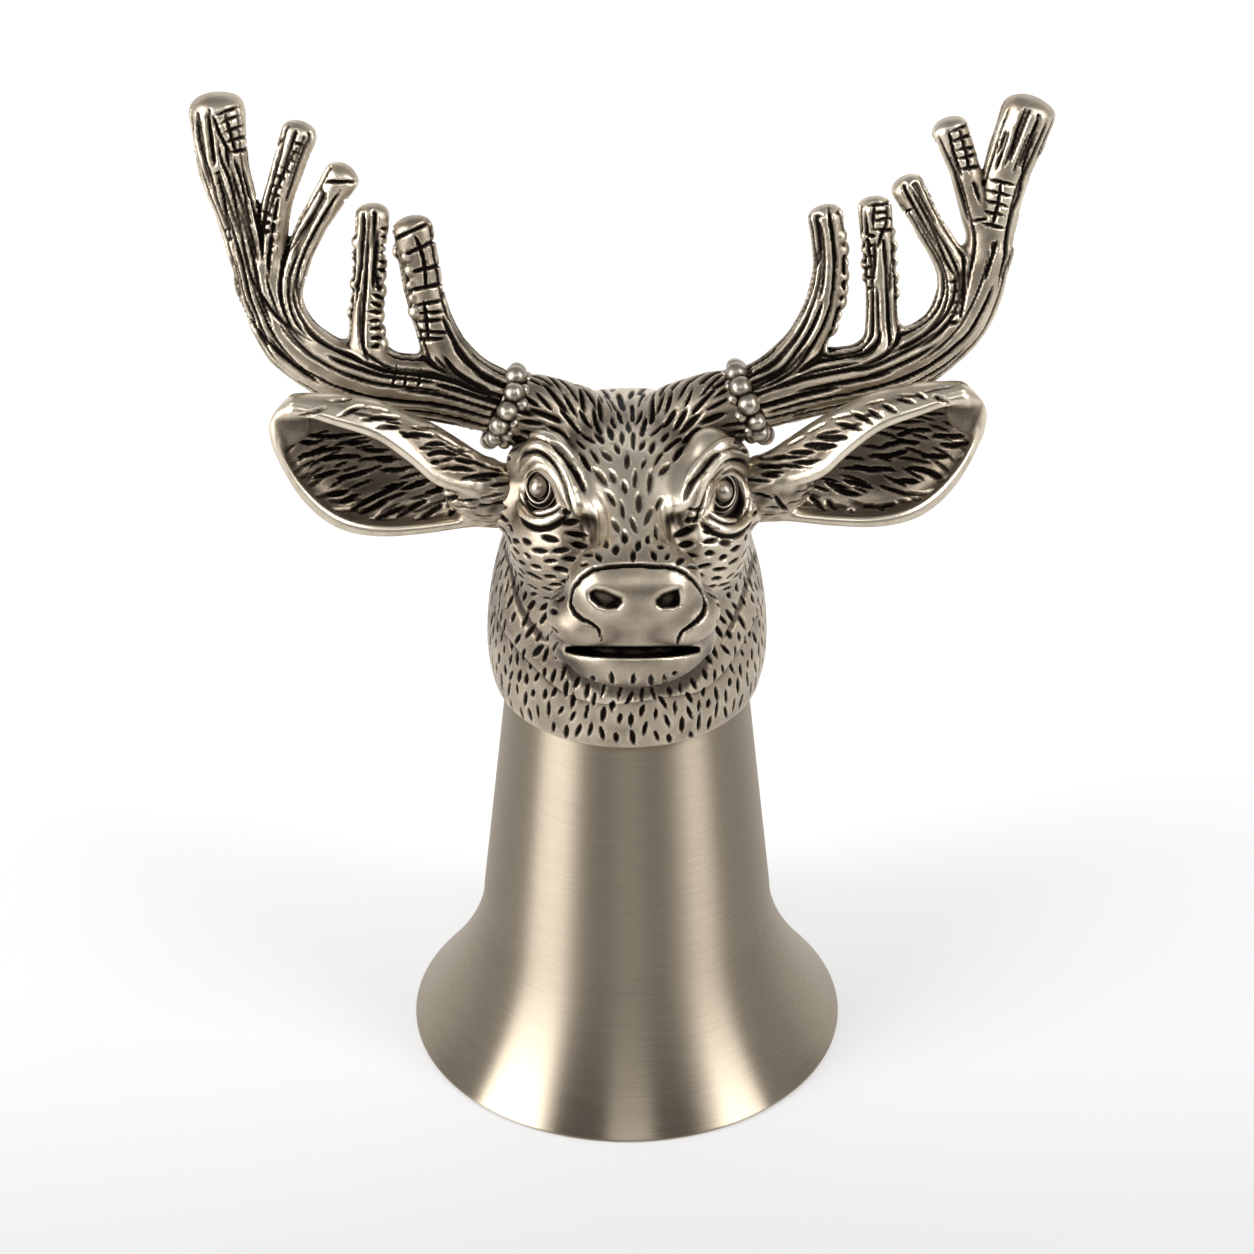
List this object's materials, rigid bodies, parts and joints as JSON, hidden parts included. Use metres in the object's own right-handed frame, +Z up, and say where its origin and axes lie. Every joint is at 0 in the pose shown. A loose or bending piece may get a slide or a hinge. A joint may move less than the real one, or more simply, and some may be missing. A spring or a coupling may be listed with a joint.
{
  "type": "stag head shot glass",
  "caption": "Stirrup-cup shot glass: a spun steel bell standing on its flared mouth, its closed end sleeved by a cast stag's head with antlers and ears; turned over to drink.",
  "frame": {"origin": "centre of the rim's plane, where the mouth stands on the table", "axes": "+Z up the bell's axis from the mouth to the head; the stag looks along -Y; +X is to the right of someone facing the stag"},
  "size_m": [0.1015, 0.0541, 0.124],
  "materials": {
    "spun_steel": "spun and brushed round its axis, satin",
    "antiqued_pewter": "cast pewter, blackened in the hollows and rubbed bright on the high places",
    "rubbed_pewter": "cast pewter, rubbed bright",
    "soft_solder": "as it froze, dull"
  },
  "bodies": {
    "root": {"bell_cup": "spun_steel", "solder_ring": "soft_solder", "head_casting": "antiqued_pewter", "burr_ring_left": "rubbed_pewter", "burr_ring_right": "rubbed_pewter", "antler_left": "antiqued_pewter", "antler_right": "antiqued_pewter", "ear_left": "antiqued_pewter", "ear_right": "antiqued_pewter", "eye_left": "rubbed_pewter", "eye_right": "rubbed_pewter"}
  },
  "joints": []
}
